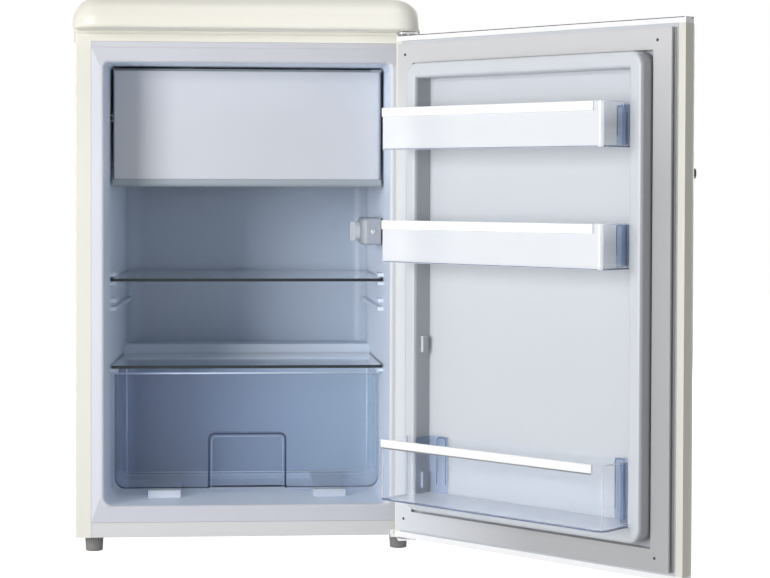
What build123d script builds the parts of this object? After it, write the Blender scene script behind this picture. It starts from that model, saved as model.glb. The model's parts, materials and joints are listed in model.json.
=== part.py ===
from build123d import *
import os

os.makedirs("parts", exist_ok=True)

# Driving sizes of the cabinet, in millimetres
cabinet_width = 550
cabinet_depth = 478
foot_height = 25
plinth_height = 24
lower_flange = 27
cavity_height = 712
upper_flange = 33
header_height = 12.5
hinge_slot = 4.5
crown_height = 51
sheet = 1.0
side_flange = 25
liner_flange = 18.4
rail_depth = 2.0
fit_gap = 0.3
foam_gap = 0.4
overcut = 1.0
rail_return_depth = 70

# Driving sizes of the inner liner
liner_wall = 3.0
back_insulation = 38
cavity_narrowing = 12.5
lip_offset = 2.1
lip_radius = 5.5
cavity_corner = 25
floor_radius = 15
ceiling_radius = 8
hump_front = 268
ledge_depth = 77
ramp_depth = 17
ramp_rise = 19
rib_depth = 9
rib_height = 6
rib_setback = 6
seam_width = 1.0
seam_drop = 10

# Driving sizes of what stands inside
interior_setback = 98
pane_thickness = 5
pane_clearance = 2.5
pane_back_gap = 12
cover_back_gap = 3
shelf_height = 356
spare_rib_height = 313
cover_height = 211.5
drawer_wall_gap = 7.2
drawer_height = 193.5
drawer_depth = 158
drawer_wall = 2.5
drawer_corner = 18
drawer_rise = 11
drawer_setback = 2
rail_inner = 110
rail_outer = 163
grip_width = 127
grip_height = 91.5
grip_depth = 14
grip_corner = 9

# Driving sizes of the freezer
freezer_height = 194
freezer_wall_gap = 14.7
freezer_drop = 5
freezer_wall = 2.5
freezer_back_gap = 40
hanger = 24
frame_depth = 5.4
frame_lap = 10
frame_border = 8
sill_height = 12.8
sill_round = 9
flap_wall_gap = 6.7
flap_thickness = 10
flap_pin_radius = 3.0
flap_pin_length = 4.0
flap_top_gap = 2.8
ear_length = 18
ear_thickness = 4
pin_clearance = 0.06
catch_height = 107
catch_size = 9.5
catch_setback = 2

# Driving sizes of the thermostat control
control_drop = 51.5
control_setback = 7
control_length = 130
control_rise = 45
control_reach = 37
control_wall = 2
control_round = 12
knob_radius = 16
knob_length = 16.5
knob_back = 36
knob_shaft_radius = 3
thermostat_half = 17
pointer_width = 4
screw_head = 4
screw_rise = 2

# Driving sizes of the door
door_open_angle = 133.66
door_width = 548
door_thickness = 50
door_gap_top = 6
door_gap_bottom = 2.2
seal_gap = 13.4
seal_play = 0.5
edge_flat = 12
skin_return = 12
cap_height = 9
hinge_inset = 16.3
hinge_reach = 25.9
hinge_plate = 3
hinge_plate_depth = 55
hinge_plate_half = 16
hinge_plate_margin = 4
hinge_clearance = 1
angle_rise = 9
angle_wall = 2.5
hinge_screw_setback = 10
hinge_screw_pitch = 17
pin_radius = 4
bush_radius = 7
seal_outer_inset = 15
seal_dyke_gap = 3
seal_neck = 14
seal_base = 4.5
seal_head = 3.5
dyke_inset = 49
dyke_width = 23.5
dyke_reach = 22
dyke_edge = 6
dyke_floor_gap = 5
dyke_ceiling_gap = 4
dyke_corner = 22
door_liner_wall = 2.5

# Driving sizes of the door balconies, from the lowest to the highest
balcony_levels = (28.9, 397.6, 570.7)
balcony_heights = (94.5, 64.8, 64.7)
balcony_trims = (12.5, 14.2, 13.8)
balcony_names = ("bottom", "middle", "top")
spare_lug_level = 242.8
balcony_front = 88
balcony_free_end = 208
balcony_hinge_end = 213
balcony_corner = 12
balcony_hinge_corner = 4
balcony_wall = 2.5
balcony_floor = 3
shoulder_gap = 1
shoulder_length = 5
tray_side_gap = 2
trim_thickness = 2.2
trim_short = 19
trim_hinge_inset = 2
lug_height = 25
lug_rise = 36
lug_reach = 5
lug_width = 12
lug_depth = 9

# Driving sizes of the handle
handle_level = 583.5
handle_length = 168
handle_end_inset = 40
handle_thickness = 13
handle_rise = 15
handle_standoff = 28
handle_post = 16

# Driving sizes of the crown
crown_overhang = 66
crown_side = 2
crown_plan_radius = 46
crown_top_radius = 42
crown_lower_radius = 6
crown_wall = 3
skirt_drop = 14

# Driving sizes of the cooling machine
bay_front = 305
bay_height = 225
base_sheet = 1.5
foot_radius = 15
foot_taper = 1.2
foot_grooves = 24
groove_radius = 0.9
foot_inset = 28
foot_setback = 30
stem_radius = 4
stem_length = 20
socket_roof = 2
socket_radius = 10
rear_foot_setback = 40
compressor_x = 70
compressor_back_gap = 80.5
compressor_length = 160
compressor_breadth = 124
compressor_height = 145
compressor_round = 34
mount_height = 12
mount_radius = 10
mount_plate = 3
terminal_width = 46
terminal_depth = 50
terminal_height = 62
gland_radius = 8
gland_length = 12
cord_hole_radius = 4
tray_length = 124
tray_breadth = 100
tray_height = 22
tray_wall = 2
tube_radius = 2.4
tube_runs = 12
tube_pitch = 42
tube_half = 190
tube_off = 14
tube_drop_x = 216
wire_radius = 0.9
wire_count = 16
wire_margin = 14
strap_height = 8
strap_thickness = 1.4
strap_clearance = 2
bracket_half = 5
drier_radius = 9
drier_length = 70
suction_radius = 3.2
suction_level = 100

# Levels and limits that follow from the driving sizes
half_width = cabinet_width / 2
front = -cabinet_depth / 2
back = cabinet_depth / 2
base = foot_height
plinth_top = base + plinth_height
floor_z = plinth_top + lower_flange
ceiling_z = floor_z + cavity_height
flange_top = ceiling_z + upper_flange
header_top = flange_top + header_height
crown_z = header_top + hinge_slot
crown_top = crown_z + crown_height
panel_half = half_width - sheet - fit_gap
flange_half = half_width - side_flange - fit_gap
cavity_depth = cabinet_depth - back_insulation
cavity_front_half = half_width - side_flange - liner_flange - lip_offset
cavity_back_half = cavity_front_half - cavity_narrowing
hump_top = floor_z + cover_height - fit_gap
ramp_y = front + hump_front + ledge_depth
interior = front + interior_setback
bay_y = front + bay_front
bay_top = base + bay_height
floor_sheet_top = base + base_sheet

# The door is drawn shut and then swung open about its hinge pins
door_half = door_width / 2
hinge_x = door_half - hinge_inset
hinge_y = front - hinge_reach
rim_y = front - seal_gap
door_face = rim_y - door_thickness
door_bottom = base + door_gap_bottom
door_top = crown_z - door_gap_top
skin_bottom = door_bottom + cap_height
skin_top = door_top - cap_height
door_swing = (
    Location((hinge_x, hinge_y, 0))
    * Location((0, 0, 0), (0, 0, door_open_angle))
    * Location((-hinge_x, -hinge_y, 0))
)


def block(x, y, z, mode=Mode.ADD):
    """A box between a low and a high limit on each axis."""
    with Locations(((x[0] + x[1]) / 2, (y[0] + y[1]) / 2, (z[0] + z[1]) / 2)):
        return Box(x[1] - x[0], y[1] - y[0], z[1] - z[0], mode=mode)


def upright(x, y, z, radius, mode=Mode.ADD):
    """A vertical round bar between two levels."""
    with Locations((x, y, (z[0] + z[1]) / 2)):
        return Cylinder(radius, z[1] - z[0], mode=mode)


def both(half):
    """Limits that lie evenly about the middle."""
    return (-half, half)


def wall_half(y):
    """Half the width between the liner's side walls at a depth."""
    return cavity_front_half - cavity_narrowing * (y - front) / cavity_depth


def cavity_plan(plane, grow):
    """The liner's plan, wider at the front, with round corners at the back."""
    far = front + cavity_depth + grow
    with BuildSketch(plane) as plan:
        with BuildLine():
            Polyline(
                (-cavity_front_half - grow, front),
                (cavity_front_half + grow, front),
                (cavity_back_half + grow, far),
                (-cavity_back_half - grow, far),
                close=True,
            )
        make_face()
        fillet(plan.vertices().group_by(Axis.Y)[-1], radius=cavity_corner + grow)
    return plan.sketch


def hump_section(grow):
    """The side view of the hump: a ledge for the crisper pane, then a ramp up to the back wall."""
    below = floor_z - 2 * grow - overcut
    near = front + hump_front + grow
    ledge = hump_top - grow
    with BuildSketch(Plane.YZ) as section:
        with BuildLine():
            Polyline(
                (near, below),
                (near, ledge),
                (ramp_y + grow, ledge),
                (ramp_y + ramp_depth + grow, ledge + ramp_rise),
                (back, ledge + ramp_rise),
                (back, below),
                close=True,
            )
        make_face()
    return section.sketch


def cavity_form(grow):
    """The cold space, grown by a wall, with the hump over the machine bay left out."""
    with BuildPart() as form:
        extrude(cavity_plan(Plane.XY.offset(floor_z - grow), grow), amount=cavity_height + 2 * grow)
        lower = form.faces().sort_by(Axis.Z)[0].edges().sort_by(Axis.Y)[1:]
        fillet(lower, radius=floor_radius + grow)
        upper = form.faces().sort_by(Axis.Z)[-1].edges().sort_by(Axis.Y)[1:]
        fillet(upper, radius=ceiling_radius + grow)
        extrude(hump_section(grow), amount=cabinet_width, both=True, mode=Mode.SUBTRACT)
    return form.part


def side_strip(plane, side, near, far):
    """The plan of a rib along one side wall, rooted in the wall."""
    root = liner_wall / 2
    with BuildSketch(plane) as strip:
        with BuildLine():
            Polyline(
                (side * (wall_half(near) - rib_depth), near),
                (side * (wall_half(near) + root), near),
                (side * (wall_half(far) + root), far),
                (side * (wall_half(far) - rib_depth), far),
                close=True,
            )
        make_face()
    return strip.sketch


def pane_plan(plane, far, far_corner):
    """The plan of a glass pane that follows the side walls."""
    near = interior
    with BuildSketch(plane) as plan:
        with BuildLine():
            Polyline(
                (-wall_half(near) + pane_clearance, near),
                (wall_half(near) - pane_clearance, near),
                (wall_half(far) - pane_clearance, far),
                (-wall_half(far) + pane_clearance, far),
                close=True,
            )
        make_face()
        fillet(plan.vertices().group_by(Axis.Y)[-1], radius=far_corner)
        fillet(plan.vertices().group_by(Axis.Y)[0], radius=pane_clearance)
    return plan.sketch


def door_plan(plane, inset):
    """The plan of the shut door: flat sides, then a wide round edge on to the outer face."""
    half = door_half - inset
    inner = rim_y - inset
    outer = door_face + inset
    radius = door_thickness - edge_flat - inset
    with BuildSketch(plane) as plan:
        with BuildLine():
            Polyline((-half, outer + radius), (-half, inner), (half, inner), (half, outer + radius))
            RadiusArc((half, outer + radius), (half - radius, outer), radius)
            Line((half - radius, outer), (-half + radius, outer))
            RadiusArc((-half + radius, outer), (-half, outer + radius), radius)
        make_face()
    return plan.sketch


def frame_plan(plane, half, z_low, z_high, width, radius):
    """A rectangular ring, drawn on an upright plane."""
    middle = (z_low + z_high) / 2
    with BuildSketch(plane) as ring:
        with Locations((0, middle)):
            Rectangle(2 * half, z_high - z_low)
            inner = Rectangle(2 * (half - width), z_high - z_low - 2 * width, mode=Mode.PRIVATE)
        if radius:
            fillet(ring.vertices(), radius=radius)
        add(inner, mode=Mode.SUBTRACT)
    return ring.sketch


def crown_form(inset):
    """The crown's rounded block, drawn in by a wall."""
    side = half_width + crown_side - inset
    near = front - crown_overhang + inset
    with BuildPart() as form:
        block(both(side), (near, back - inset), (crown_z + inset, crown_top - inset))
        corners = form.edges().filter_by(Axis.Z).group_by(Axis.Y)[0]
        fillet(corners, radius=crown_plan_radius - inset)
        rim = form.faces().sort_by(Axis.Z)[-1].edges().sort_by(Axis.Y)[:-1]
        fillet(rim, radius=crown_top_radius - inset)
        if inset == 0:
            lower = form.faces().sort_by(Axis.Z)[0].edges().sort_by(Axis.Y)[:-1]
            fillet(lower, radius=crown_lower_radius)
    return form.part


# Side panels: folded sheet with a front return
for side, name in ((-1, "left"), (1, "right")):
    with BuildPart() as side_panel:
        wall = sorted((side * half_width, side * (half_width - sheet)))
        turn = sorted((side * half_width, side * (half_width - side_flange)))
        block(wall, (front, back), (base, header_top))
        block(turn, (front, front + sheet), (base, header_top))
        outer_edge = side_panel.edges().filter_by(Axis.Z).group_by(Axis.Y)[0].sort_by(Axis.X)
        fillet(outer_edge[-1 if side > 0 else 0], radius=2 * sheet)
    side_panel.part.label = f"side_panel_{name}"
    export_step(side_panel.part, f"parts/side_panel_{name}.step")

# Crown: a hollow cover with a skirt around the cabinet's top and a lip over the header
with BuildPart() as top_cover:
    add(crown_form(0))
    skirt_z = header_top - skirt_drop
    block(both(half_width + crown_side), (front + sheet, back), (skirt_z, crown_z + crown_wall))
    inside = (front - fit_gap, back - crown_wall)
    lap_z = (skirt_z - overcut, header_top + fit_gap)
    block(both(half_width + fit_gap), (front, back + overcut), lap_z, mode=Mode.SUBTRACT)
    rail_z = (header_top, crown_z)
    block(both(half_width - crown_wall), inside, rail_z, mode=Mode.SUBTRACT)
    add(crown_form(crown_wall), mode=Mode.SUBTRACT)
    seat = (front + crown_wall, back - crown_wall)
    block(both(half_width - crown_wall), seat, (header_top, crown_z + 2 * crown_wall), mode=Mode.SUBTRACT)
    lip_x = (-half_width + crown_wall, hinge_x - hinge_plate_half - hinge_clearance)
    block(lip_x, (front, front + crown_wall), (header_top + fit_gap, crown_z + crown_wall))
top_cover.part.label = "top_cover"
export_step(top_cover.part, "parts/top_cover.step")

# Top rail: the header strip over the opening, folded back at the top
rail_return = front + rail_return_depth
with BuildPart() as top_rail:
    block(both(flange_half), (front, front + sheet), (flange_top + fit_gap, header_top))
    block(both(flange_half), (front, rail_return), (header_top - sheet, header_top))
top_rail.part.label = "top_rail"
export_step(top_rail.part, "parts/top_rail.step")

# Top panel: the sheet that closes the insulation under the crown
with BuildPart() as top_panel:
    top_y = (rail_return + fit_gap, back - sheet - fit_gap)
    block(both(panel_half), top_y, (header_top - sheet, header_top))
top_panel.part.label = "top_panel"
export_step(top_panel.part, "parts/top_panel.step")

# Bottom rail: the strip under the liner's flange
with BuildPart() as bottom_rail:
    block(both(flange_half), (front, front + rail_depth), (base, plinth_top))
    fillet(bottom_rail.edges().filter_by(Axis.X).group_by(Axis.Y)[0], radius=rail_depth / 2)
bottom_rail.part.label = "bottom_rail"
export_step(bottom_rail.part, "parts/bottom_rail.step")

# Back panel
with BuildPart() as back_panel:
    block(both(panel_half), (back - sheet, back), (bay_top + sheet + fit_gap, header_top))
back_panel.part.label = "back_panel"
export_step(back_panel.part, "parts/back_panel.step")

# Feet and their threaded sockets
foot_x = half_width - foot_inset
foot_y = front + foot_setback
rear_foot_y = back - rear_foot_setback
stem_hole = stem_radius + pin_clearance
socket_top = floor_sheet_top + stem_length + socket_roof
with BuildPart() as foot_sockets:
    for x in (-foot_x, foot_x):
        upright(x, foot_y, (floor_sheet_top, socket_top), socket_radius)
        upright(x, foot_y, (floor_sheet_top, socket_top), stem_hole, mode=Mode.SUBTRACT)
foot_sockets.part.label = "foot_sockets"
export_step(foot_sockets.part, "parts/foot_sockets.step")

for side, name in ((-1, "left"), (1, "right")):
    with BuildPart() as front_foot:
        with Locations((side * foot_x, foot_y, 0)):
            Cone(
                foot_radius - foot_taper,
                foot_radius,
                base - fit_gap,
                align=(Align.CENTER, Align.CENTER, Align.MIN),
            )
        lower_rim = front_foot.edges().group_by(Axis.Z)[0]
        fillet(lower_rim, radius=foot_taper)
        with Locations((side * foot_x, foot_y, base / 2 + foot_taper)):
            with PolarLocations(foot_radius, foot_grooves):
                Cylinder(groove_radius, base, mode=Mode.SUBTRACT)
        upright(side * foot_x, foot_y, (base - fit_gap, base + stem_length), stem_radius)
    front_foot.part.label = f"front_foot_{name}"
    export_step(front_foot.part, f"parts/front_foot_{name}.step")

with BuildPart() as rear_feet:
    for x in (-foot_x, foot_x):
        upright(x, rear_foot_y, (0, base), foot_radius)
    fillet(rear_feet.edges().group_by(Axis.Z)[0], radius=foot_taper)
rear_feet.part.label = "rear_feet"
export_step(rear_feet.part, "parts/rear_feet.step")

# Base pan: the sheet under the cabinet, which also carries the compressor
with BuildPart() as base_pan:
    block(both(panel_half), (front + rail_depth + fit_gap, back), (base, floor_sheet_top))
    for x in (-foot_x, foot_x):
        hole_z = (base - overcut, floor_sheet_top + overcut)
        upright(x, foot_y, hole_z, stem_radius + 2 * fit_gap, mode=Mode.SUBTRACT)
base_pan.part.label = "base_pan"
export_step(base_pan.part, "parts/base_pan.step")

# Shroud that closes the machine bay towards the insulation
with BuildPart() as machine_bay_shroud:
    block(both(panel_half), (bay_y - sheet, bay_y), (floor_sheet_top, bay_top + sheet))
    block(both(panel_half), (bay_y - sheet, back), (bay_top, bay_top + sheet))
machine_bay_shroud.part.label = "machine_bay_shroud"
export_step(machine_bay_shroud.part, "parts/machine_bay_shroud.step")

# Inner liner: the moulded cold space with its front flange, shelf ribs and drawer rails
shelf_z = floor_z + shelf_height
cover_z = floor_z + cover_height
spare_z = floor_z + spare_rib_height
drawer_z = floor_z + drawer_rise
rib_near = interior + rib_setback
rib_far = front + cavity_depth - cavity_corner
cover_rib_height = cover_z - drawer_z - drawer_height - 2 * fit_gap
cover_rib_far = front + hump_front + liner_wall / 2
rib_levels = (
    (shelf_z - rib_height - fit_gap, rib_height, rib_far),
    (spare_z - rib_height, rib_height, rib_far),
    (cover_z - cover_rib_height - fit_gap, cover_rib_height, cover_rib_far),
)
keeper_far = rib_near + 5 * rib_depth
rail_near = interior - 2 * rib_depth
rail_far = cover_rib_far
with BuildPart() as inner_liner:
    add(cavity_form(liner_wall))
    block(both(flange_half), (front, front + liner_wall), (plinth_top + fit_gap, flange_top))
    add(cavity_form(0), mode=Mode.SUBTRACT)
    opening = inner_liner.faces().sort_by(Axis.Y)[0].inner_wires()[0].edges()
    fillet(opening, radius=lip_radius)
    seam_z = flange_top - seam_drop
    seam_y = (front - overcut, front + seam_width)
    block(both(cabinet_width), seam_y, (seam_z, seam_z + seam_width), mode=Mode.SUBTRACT)
    for side in (-1, 1):
        for level, height, far in rib_levels:
            rib = side_strip(Plane.XY.offset(level), side, rib_near, far)
            extrude(rib, amount=height)
        for level in (shelf_z, spare_z):
            keeper_z = level + pane_thickness + pane_clearance
            keeper = side_strip(Plane.XY.offset(keeper_z), side, rib_near, keeper_far)
            extrude(keeper, amount=rib_height)
        rail_x = sorted((side * rail_inner, side * rail_outer))
        rail_z = (floor_z - liner_wall / 2, drawer_z - fit_gap)
        block(rail_x, (rail_near, rail_far), rail_z)
        rail_end = (side * (rail_inner + rail_outer) / 2, rail_near, drawer_z)
        nose = inner_liner.faces().filter_by(Axis.Z).sort_by_distance(rail_end)[0]
        chamfer(nose.edges().sort_by(Axis.Y)[0], length=drawer_rise / 2)
inner_liner.part.label = "inner_liner"
export_step(inner_liner.part, "parts/inner_liner.step")

# Insulation between the liner and the outer sheets
foam_half = half_width - sheet - foam_gap
with BuildPart() as cabinet_insulation:
    foam_y = (front + liner_wall + foam_gap, back - sheet - foam_gap)
    foam_z = (floor_sheet_top + foam_gap, header_top - sheet - foam_gap)
    block(both(foam_half), foam_y, foam_z)
    add(cavity_form(liner_wall + foam_gap), mode=Mode.SUBTRACT)
    bay_z = (base, bay_top + sheet + foam_gap)
    block(both(cabinet_width), (bay_y - sheet - foam_gap, back), bay_z, mode=Mode.SUBTRACT)
    for x in (-foot_x, foot_x):
        upright(x, foot_y, (base, socket_top + foam_gap), socket_radius + foam_gap, mode=Mode.SUBTRACT)
cabinet_insulation.part.label = "cabinet_insulation"
export_step(cabinet_insulation.part, "parts/cabinet_insulation.step")

# Freezer: the evaporator box hangs from the ceiling, with a plastic frame in front
freezer_top = ceiling_z - freezer_drop
freezer_z = freezer_top - freezer_height
frame_y = interior + flap_thickness + fit_gap
box_y = frame_y + frame_depth
freezer_back = front + cavity_depth - freezer_back_gap
freezer_half = wall_half(interior) - freezer_wall_gap
with BuildPart() as freezer_box:
    outer_x = freezer_half
    inner_x = outer_x - freezer_wall
    block(both(outer_x), (box_y, freezer_back), (freezer_z, freezer_top))
    fillet(freezer_box.edges().filter_by(Axis.Y), radius=3 * freezer_wall)
    room_z = (freezer_z + freezer_wall, freezer_top - freezer_wall)
    block(both(inner_x), (box_y - overcut, freezer_back - freezer_wall), room_z, mode=Mode.SUBTRACT)
    for x in (-outer_x / 2, outer_x / 2):
        for y in (box_y + 2 * hanger, freezer_back - 2 * hanger):
            hanger_z = (freezer_top - freezer_wall, ceiling_z - fit_gap)
            block((x - hanger / 2, x + hanger / 2), (y - hanger / 2, y + hanger / 2), hanger_z)
freezer_box.part.label = "freezer_box"
export_step(freezer_box.part, "parts/freezer_box.step")

flap_z = freezer_z + sill_height + fit_gap
flap_top = freezer_top - flap_top_gap
flap_half = wall_half(interior) - flap_wall_gap
flap_axis_x = flap_half - flap_thickness / 2
flap_axis_y = interior + flap_thickness / 2
ear_z = (flap_top + fit_gap, flap_top + fit_gap + ear_thickness)
frame_half = freezer_half + frame_lap
with BuildPart() as freezer_frame:
    block(both(frame_half), (frame_y, box_y), (freezer_z, ear_z[1]))
    window_z = (freezer_z + sill_height, freezer_top - frame_border)
    window_y = (frame_y - overcut, box_y + overcut)
    block(both(freezer_half - frame_border), window_y, window_z, mode=Mode.SUBTRACT)
    block(both(frame_half), (interior, frame_y), (freezer_z, freezer_z + sill_height))
    sill_edges = freezer_frame.edges().filter_by(Axis.X).group_by(Axis.Y)[0]
    fillet(sill_edges.sort_by(Axis.Z)[0], radius=sill_round)
    block((frame_half - ear_length, frame_half), (interior, frame_y), ear_z)
    hole = flap_pin_radius + pin_clearance
    sill_hole = (flap_z - flap_pin_length - 2 * fit_gap, flap_z)
    upright(flap_axis_x, flap_axis_y, sill_hole, hole, mode=Mode.SUBTRACT)
    upright(flap_axis_x, flap_axis_y, (ear_z[0] - overcut, ear_z[1] + overcut), hole, mode=Mode.SUBTRACT)
    catch_x = (-wall_half(box_y) + fit_gap, -frame_half)
    for level in (freezer_z + catch_height, freezer_z + catch_height + catch_size):
        block(catch_x, (interior + catch_setback, box_y), (level, level + 2 * sheet))
    catch_z = (freezer_z + catch_height, level + 2 * sheet)
    block((-frame_half - 2 * sheet, -frame_half), (frame_y, box_y), catch_z)
freezer_frame.part.label = "freezer_frame"
export_step(freezer_frame.part, "parts/freezer_frame.step")

# Freezer flap: turns on two short pins at its right end, which is round about them
with BuildPart() as freezer_flap:
    block((-flap_half, flap_axis_x), (interior, interior + flap_thickness), (flap_z, flap_top))
    upright(flap_axis_x, flap_axis_y, (flap_z, flap_top), flap_thickness / 2)
    free_end = freezer_flap.edges().filter_by(Axis.Z).group_by(Axis.X)[0]
    fillet(free_end, radius=flap_thickness / 5)
    upright(flap_axis_x, flap_axis_y, (flap_z - flap_pin_length, flap_z), flap_pin_radius)
    upright(flap_axis_x, flap_axis_y, (flap_top, flap_top + flap_pin_length), flap_pin_radius)
freezer_flap.part.label = "freezer_flap"
export_step(freezer_flap.part, "parts/freezer_flap.step")

# Glass shelf and the pane over the crisper
with BuildPart() as glass_shelf:
    shelf_far = front + cavity_depth - pane_back_gap
    extrude(pane_plan(Plane.XY.offset(shelf_z), shelf_far, cavity_corner), amount=pane_thickness)
glass_shelf.part.label = "glass_shelf"
export_step(glass_shelf.part, "parts/glass_shelf.step")

with BuildPart() as crisper_cover:
    cover_far = ramp_y - cover_back_gap
    extrude(pane_plan(Plane.XY.offset(cover_z), cover_far, pane_clearance), amount=pane_thickness)
crisper_cover.part.label = "crisper_cover"
export_step(crisper_cover.part, "parts/crisper_cover.step")

# Crisper drawer: a clear tray with an arched finger recess in its front
drawer_y = interior + drawer_setback
drawer_top = drawer_z + drawer_height
drawer_far = drawer_y + drawer_depth


def drawer_front(plane, inset):
    """The drawer's front outline, with its two lower corners round."""
    half = wall_half(interior) - drawer_wall_gap - inset
    low = drawer_z + inset
    with BuildSketch(plane) as outline:
        with Locations((0, (low + drawer_top) / 2)):
            Rectangle(2 * half, drawer_top - low)
        fillet(outline.vertices().group_by(Axis.Y)[0], radius=drawer_corner - inset)
    return outline.sketch


def grip_outline(plane, grow):
    """The arched outline of the finger recess."""
    top = drawer_z + grip_height + grow
    with BuildSketch(plane) as outline:
        with Locations((0, (drawer_z + top) / 2)):
            Rectangle(grip_width + 2 * grow, top - drawer_z)
        fillet(outline.vertices().group_by(Axis.Y)[-1], radius=grip_corner + grow)
    return outline.sketch


with BuildPart() as crisper_drawer:
    extrude(drawer_front(Plane.XZ.offset(-drawer_y), 0), amount=-drawer_depth)
    upright_edges = crisper_drawer.edges().filter_by(Axis.Z)
    fillet(upright_edges, radius=2 * drawer_wall)
    room = drawer_front(Plane.XZ.offset(-drawer_y - drawer_wall), drawer_wall)
    extrude(room, amount=-(drawer_depth - 2 * drawer_wall), mode=Mode.SUBTRACT)
    recess = grip_outline(Plane.XZ.offset(-drawer_y - drawer_wall / 2), drawer_wall)
    extrude(recess, amount=-(grip_depth + drawer_wall / 2))
    extrude(grip_outline(Plane.XZ.offset(-drawer_y), 0), amount=-grip_depth, mode=Mode.SUBTRACT)
crisper_drawer.part.label = "crisper_drawer"
export_step(crisper_drawer.part, "parts/crisper_drawer.step")

# Thermostat control on the right wall
control_y = (interior + control_setback, interior + control_setback + control_length)
control_z = (freezer_z - control_drop - control_rise, freezer_z - control_drop)
control_root = wall_half(control_y[1]) - fit_gap
control_x = wall_half(control_y[0]) - control_reach
knob_y = control_y[0] + knob_back
knob_z = (control_z[0] + control_z[1]) / 2
with BuildPart() as control_housing:
    block((control_x, control_root), control_y, control_z)
    inboard = control_housing.edges().filter_by(Axis.Z).group_by(Axis.X)[0]
    fillet(inboard, radius=control_round)
    level_edges = control_housing.edges().filter_by(Axis.Y).group_by(Axis.X)[0]
    fillet(level_edges, radius=3 * control_wall)
    hollow_y = (control_y[0] + control_round / 2, control_y[1] - control_round / 2)
    hollow_z = (control_z[0] + control_wall, control_z[1] - control_wall)
    block((control_x + control_wall, control_root + overcut), hollow_y, hollow_z, mode=Mode.SUBTRACT)
    with Locations((control_x, knob_y, knob_z)):
        Cylinder(knob_shaft_radius + fit_gap, 4 * control_wall, rotation=(0, 90, 0), mode=Mode.SUBTRACT)
control_housing.part.label = "control_housing"
export_step(control_housing.part, "parts/control_housing.step")

thermostat_x = (control_x + control_wall, control_root - control_wall)
with BuildPart() as thermostat:
    thermostat_y = (knob_y - thermostat_half, knob_y + thermostat_half)
    thermostat_z = (knob_z - thermostat_half, knob_z + thermostat_half)
    block(thermostat_x, thermostat_y, thermostat_z)
    with Locations((thermostat_x[0], knob_y, knob_z)):
        Cylinder(knob_shaft_radius + pin_clearance, 4 * control_wall, rotation=(0, 90, 0), mode=Mode.SUBTRACT)
thermostat.part.label = "thermostat"
export_step(thermostat.part, "parts/thermostat.step")

knob_x = (control_x - fit_gap - knob_length, control_x - fit_gap)
shaft_reach = 3 * control_wall
with BuildPart() as thermostat_knob:
    with Locations(((knob_x[0] + knob_x[1]) / 2, knob_y, knob_z)):
        Cylinder(knob_radius, knob_length, rotation=(0, 90, 0))
    face_rim = thermostat_knob.edges().group_by(Axis.X)[0]
    fillet(face_rim, radius=pointer_width / 2)
    for side in (-1, 1):
        near = side * pointer_width / 2
        cut_y = sorted((knob_y + near, knob_y + side * 2 * knob_radius))
        cut_z = (knob_z - 2 * knob_radius, knob_z + 2 * knob_radius)
        block((knob_x[0] - overcut, knob_x[0] + knob_length / 2), cut_y, cut_z, mode=Mode.SUBTRACT)
    with Locations((control_x, knob_y, knob_z)):
        Cylinder(knob_shaft_radius, 2 * shaft_reach - 2 * fit_gap, rotation=(0, 90, 0))
thermostat_knob.part.label = "thermostat_knob"
export_step(thermostat_knob.part, "parts/thermostat_knob.step")

with BuildPart() as control_screw:
    with Locations(((control_x + control_root) / 2 + screw_head, control_y[0] - screw_rise / 2, knob_z)):
        Cylinder(screw_head, screw_rise, rotation=(90, 0, 0))
    fillet(control_screw.edges().group_by(Axis.Y)[0], radius=screw_rise / 2)
control_screw.part.label = "control_screw"
export_step(control_screw.part, "parts/control_screw.step")

# Hinges: a plate over the door and an angle under it, each with a pin
plate_far = front + hinge_plate_depth
plate_end = hinge_x + hinge_inset - hinge_plate_margin
top_plate_z = (crown_z - hinge_plate - hinge_clearance, crown_z - hinge_clearance)
pin_reach = cap_height - hinge_clearance
with BuildPart() as top_hinge:
    plate_x = (hinge_x - hinge_plate_half, plate_end)
    block(plate_x, (hinge_y - bush_radius - pin_radius, plate_far), top_plate_z)
    fillet(top_hinge.edges().filter_by(Axis.Z).group_by(Axis.Y)[0], radius=pin_radius)
    upright(hinge_x, hinge_y, (door_top - pin_reach, top_plate_z[0]), pin_radius)
top_hinge.part.label = "top_hinge"
export_step(top_hinge.part, "parts/top_hinge.step")

with BuildPart() as bottom_hinge:
    foot_z = (base - hinge_plate, base)
    angle_x = (hinge_x - hinge_plate_half - hinge_screw_setback, plate_end)
    block((hinge_x - hinge_plate_half, plate_end), (hinge_y - bush_radius - pin_radius, front), foot_z)
    fillet(bottom_hinge.edges().filter_by(Axis.Z).group_by(Axis.Y)[0], radius=pin_radius)
    block(angle_x, (front - angle_wall, front), (base - hinge_plate, base + angle_rise))
    upright(hinge_x, hinge_y, (base, door_bottom + pin_reach), pin_radius)
bottom_hinge.part.label = "bottom_hinge"
export_step(bottom_hinge.part, "parts/bottom_hinge.step")

with BuildPart() as hinge_screws:
    for step in (0, 1, 2):
        top_y = front + hinge_screw_setback + hinge_screw_pitch * step
        upright(hinge_x, top_y, (top_plate_z[1], top_plate_z[1] + screw_rise), screw_head)
    for step in (0, 1):
        low_x = angle_x[0] + 2 * screw_head + hinge_screw_pitch * step
        with Locations((low_x, front - angle_wall - screw_rise / 2, base + angle_rise / 2)):
            Cylinder(screw_head, screw_rise, rotation=(90, 0, 0))
hinge_screws.part.label = "hinge_screws"
export_step(hinge_screws.part, "parts/hinge_screws.step")

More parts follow.
